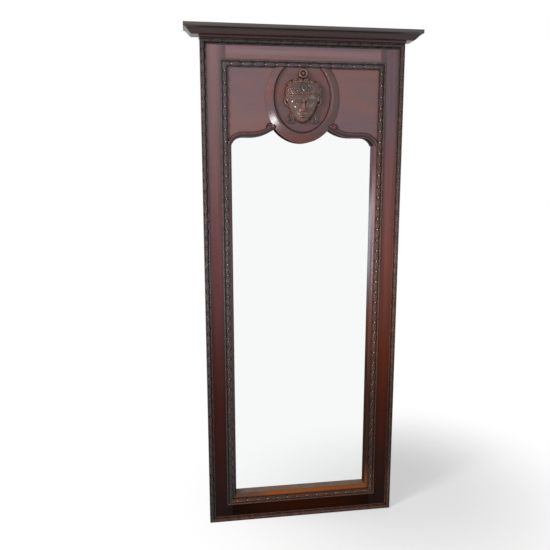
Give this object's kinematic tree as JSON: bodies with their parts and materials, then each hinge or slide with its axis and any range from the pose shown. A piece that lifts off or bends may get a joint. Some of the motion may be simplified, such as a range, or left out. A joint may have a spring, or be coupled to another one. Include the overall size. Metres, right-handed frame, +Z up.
{
  "type": "carved wall mirror",
  "caption": "Tall mirror in a carved, moulded wooden frame with a scalloped header, an oval medallion with a carved head, a cornice and hinged hanging rings.",
  "frame": {"origin": "middle of the frame's underside, halfway through the frame's thickness", "axes": "+Z up along the height, +Y to the back, the glass faces -Y, +X to the viewer's right"},
  "size_m": [0.817, 0.0854, 1.8],
  "materials": {
    "mahogany": "dark red-brown stain under a glossy varnish",
    "carved_mahogany": "darker stain in the carving, glossy on its high points",
    "pine": "bare, aged softwood",
    "mirror": "silvered glass",
    "brass": "dull aged brass",
    "steel": "dull steel"
  },
  "bodies": {
    "frame": {"stile_left": "mahogany", "stile_right": "mahogany", "top_rail": "mahogany", "bottom_rail": "mahogany", "outer_moulding_left": "carved_mahogany", "outer_moulding_right": "carved_mahogany", "outer_moulding_top": "carved_mahogany", "outer_moulding_bottom": "carved_mahogany", "inner_moulding_left": "carved_mahogany", "inner_moulding_right": "carved_mahogany", "inner_moulding_top": "carved_mahogany", "inner_moulding_bottom": "carved_mahogany", "slip_left": "mahogany", "slip_right": "mahogany", "slip_bottom": "mahogany", "header_panel": "mahogany", "scallop_bead_left": "mahogany", "scallop_bead_right": "mahogany", "medallion": "mahogany", "carved_head": "carved_mahogany", "neck_board": "mahogany", "cornice_front": "mahogany", "cornice_return_left": "mahogany", "cornice_return_right": "mahogany", "cornice_back_rail": "pine", "neck_screws": "steel", "mirror_glass": "mirror", "glass_blocks": "pine", "batten_lower": "pine", "batten_upper": "pine", "batten_screws": "steel", "backboard": "pine", "backboard_screws": "steel", "hanger_strap_left": "brass", "hanger_strap_right": "brass", "hanger_screws": "brass"},
    "ring_left": {"hanger_ring_left": "brass"},
    "ring_right": {"hanger_ring_right": "brass"}
  },
  "joints": [
    {"name": "ring_left_swing", "type": "hinge", "parent": "frame", "child": "ring_left", "pos_m": [-0.3125, 0.02318, 1.42], "axis": [1, 0, 0], "range_deg": [0, 170]},
    {"name": "ring_right_swing", "type": "hinge", "parent": "frame", "child": "ring_right", "pos_m": [0.3125, 0.02318, 1.42], "axis": [1, 0, 0], "range_deg": [0, 170]}
  ]
}
